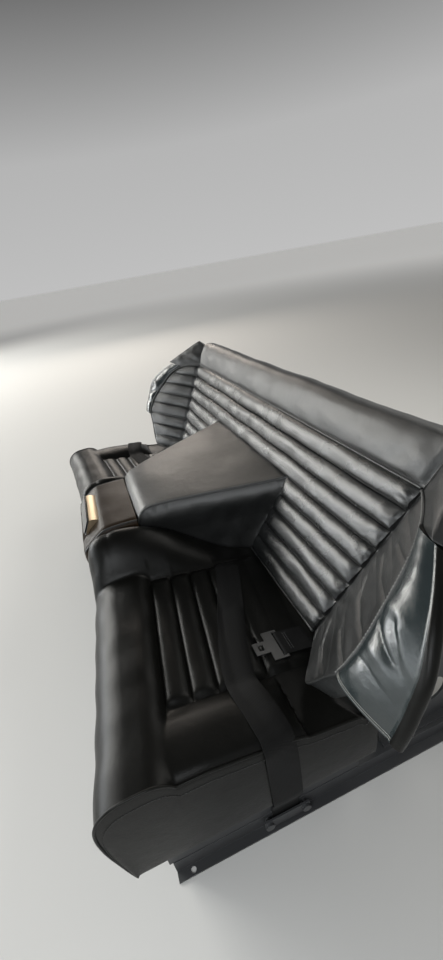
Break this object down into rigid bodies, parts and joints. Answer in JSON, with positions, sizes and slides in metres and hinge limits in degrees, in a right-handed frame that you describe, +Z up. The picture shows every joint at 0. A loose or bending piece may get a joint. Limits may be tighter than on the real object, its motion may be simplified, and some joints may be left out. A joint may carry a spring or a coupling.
{
  "type": "rear seat of a two-plus-two coupe",
  "caption": "Black pleated vinyl rear seat of a fastback coupe: reclined backrest with wings, tapered armrest over the tunnel, tip-out ashtray, bucket cushions and lap straps",
  "frame": {"origin": "centre of the footprint, on the floor that the rails stand on", "axes": "+X the car's left, +Y the car's rear, +Z up; the sitter faces -Y"},
  "size_m": [1.4132, 0.6699, 0.5533],
  "materials": {
    "vinyl": "satin",
    "board_paint": "satin",
    "frame_paint": "satin",
    "webbing": "woven",
    "bright_metal": "polished",
    "tray_face": "gloss",
    "tray_steel": "plain"
  },
  "bodies": {
    "seat": {"armrest_pad": "vinyl", "ashtray_hood": "bright_metal", "ashtray_pivot_left": "tray_steel", "ashtray_pivot_right": "tray_steel", "back_board": "board_paint", "back_stay_left": "frame_paint", "back_stay_right": "frame_paint", "backrest_band": "vinyl", "backrest_pad": "vinyl", "cushion_left": "vinyl", "cushion_right": "vinyl", "inner_rail_left": "frame_paint", "inner_rail_right": "frame_paint", "outer_rail_left": "frame_paint", "outer_rail_right": "frame_paint", "pan_left": "frame_paint", "pan_right": "frame_paint", "saddle_pad": "vinyl", "strap_clamp_left": "frame_paint", "strap_clamp_right": "frame_paint", "strap_left": "webbing", "strap_right": "webbing", "tail_left": "webbing", "tail_right": "webbing", "tongue_left": "bright_metal", "tongue_right": "bright_metal", "tunnel_arch": "frame_paint", "wing_board_left": "board_paint", "wing_board_right": "board_paint", "wing_border_left": "vinyl", "wing_border_right": "vinyl", "wing_gusset_left": "vinyl", "wing_gusset_right": "vinyl", "wing_pad_left": "vinyl", "wing_pad_right": "vinyl", "wing_stay_left": "frame_paint", "wing_stay_right": "frame_paint"},
    "ashtray": {"ashtray_bin": "tray_steel", "ashtray_face": "tray_face"}
  },
  "joints": [
    {"name": "ashtray_tilt", "type": "hinge", "parent": "seat", "child": "ashtray", "pos_m": [0, -0.271, 0.3085], "axis": [1, 0, 0], "range_deg": [0, 35]}
  ]
}
